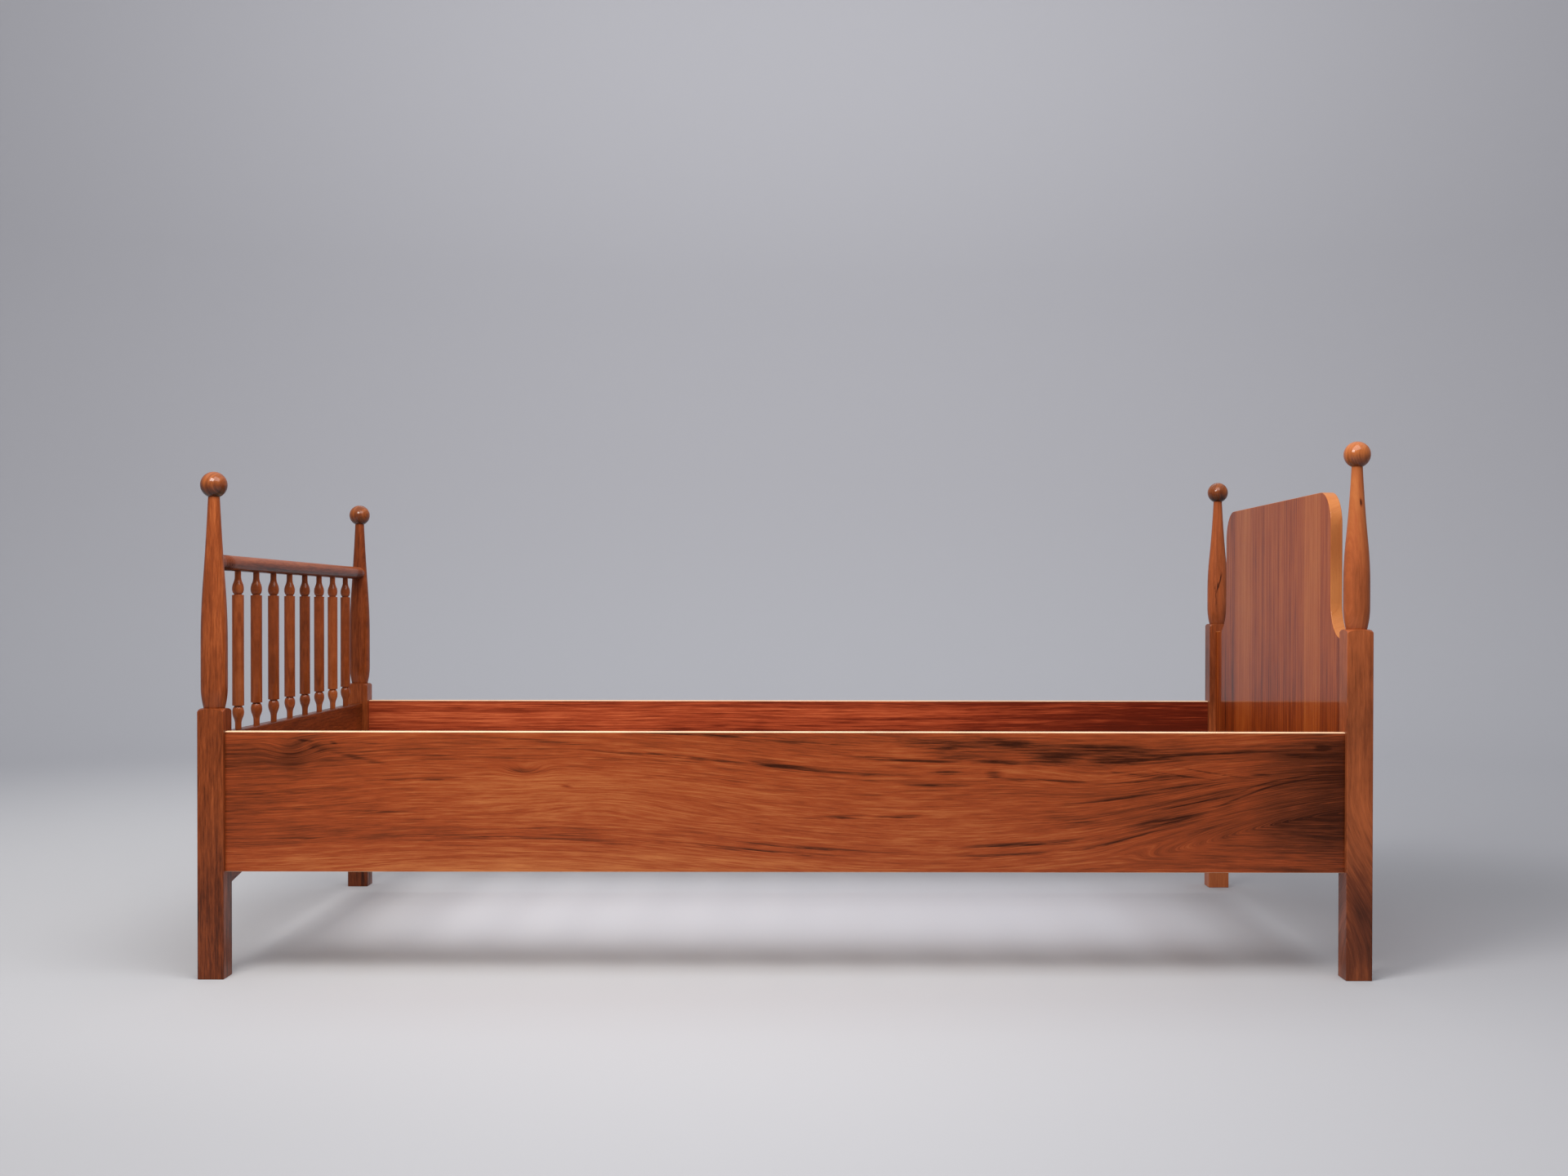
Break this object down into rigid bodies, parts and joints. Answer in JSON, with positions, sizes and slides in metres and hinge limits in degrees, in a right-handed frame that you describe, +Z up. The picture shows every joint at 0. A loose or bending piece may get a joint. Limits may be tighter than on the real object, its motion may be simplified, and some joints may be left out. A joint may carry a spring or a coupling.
{
  "type": "bed frame",
  "caption": "Single bed frame in satin reddish wood: ball-topped turned posts, spindle foot end, shaped headboard with rounded shoulders, deep side rails on hooks, and slats.",
  "frame": {"origin": "on the floor, under the middle of the bed", "axes": "+X from the foot end to the head end, +Y from the front side to the back side, +Z up"},
  "size_m": [2.0804, 1.0604, 0.9564],
  "materials": {
    "post_wood": "satin lacquer, straight upright grain",
    "ball_wood": "satin lacquer, turned end and side grain",
    "turned_wood": "satin lacquer, turned",
    "board_wood": "satin lacquer, grain along the board",
    "rail_veneer": "satin lacquer, figured veneer with the grain along the board",
    "panel_veneer": "satin lacquer, upright striped veneer leaves",
    "ledger_wood": "oiled",
    "slat_wood": "planed, unfinished",
    "plate_steel": "zinc plated",
    "screw_steel": "zinc plated"
  },
  "bodies": {
    "root": {"ball_finial_foot_back": "ball_wood", "ball_finial_foot_front": "ball_wood", "ball_finial_head_back": "ball_wood", "ball_finial_head_front": "ball_wood", "foot_post_back": "post_wood", "foot_post_front": "post_wood", "foot_rail": "board_wood", "foot_rod": "turned_wood", "foot_spindle_1": "turned_wood", "foot_spindle_2": "turned_wood", "foot_spindle_3": "turned_wood", "foot_spindle_4": "turned_wood", "foot_spindle_5": "turned_wood", "foot_spindle_6": "turned_wood", "foot_spindle_7": "turned_wood", "foot_spindle_8": "turned_wood", "head_panel": "panel_veneer", "head_post_back": "post_wood", "head_post_front": "post_wood", "hook_plate_foot_back": "plate_steel", "hook_plate_foot_front": "plate_steel", "hook_plate_head_back": "plate_steel", "hook_plate_head_front": "plate_steel", "hook_plate_screws": "screw_steel", "ledger_back": "ledger_wood", "ledger_front": "ledger_wood", "ledger_screws": "screw_steel", "receiver_plate_foot_back": "plate_steel", "receiver_plate_foot_front": "plate_steel", "receiver_plate_head_back": "plate_steel", "receiver_plate_head_front": "plate_steel", "receiver_plate_screws": "screw_steel", "side_rail_back": "rail_veneer", "side_rail_front": "rail_veneer", "slat_01": "slat_wood", "slat_02": "slat_wood", "slat_03": "slat_wood", "slat_04": "slat_wood", "slat_05": "slat_wood", "slat_06": "slat_wood", "slat_07": "slat_wood", "slat_08": "slat_wood", "slat_09": "slat_wood", "slat_10": "slat_wood", "slat_11": "slat_wood", "slat_12": "slat_wood", "slat_13": "slat_wood", "slat_14": "slat_wood", "slat_screws": "screw_steel"}
  },
  "joints": []
}
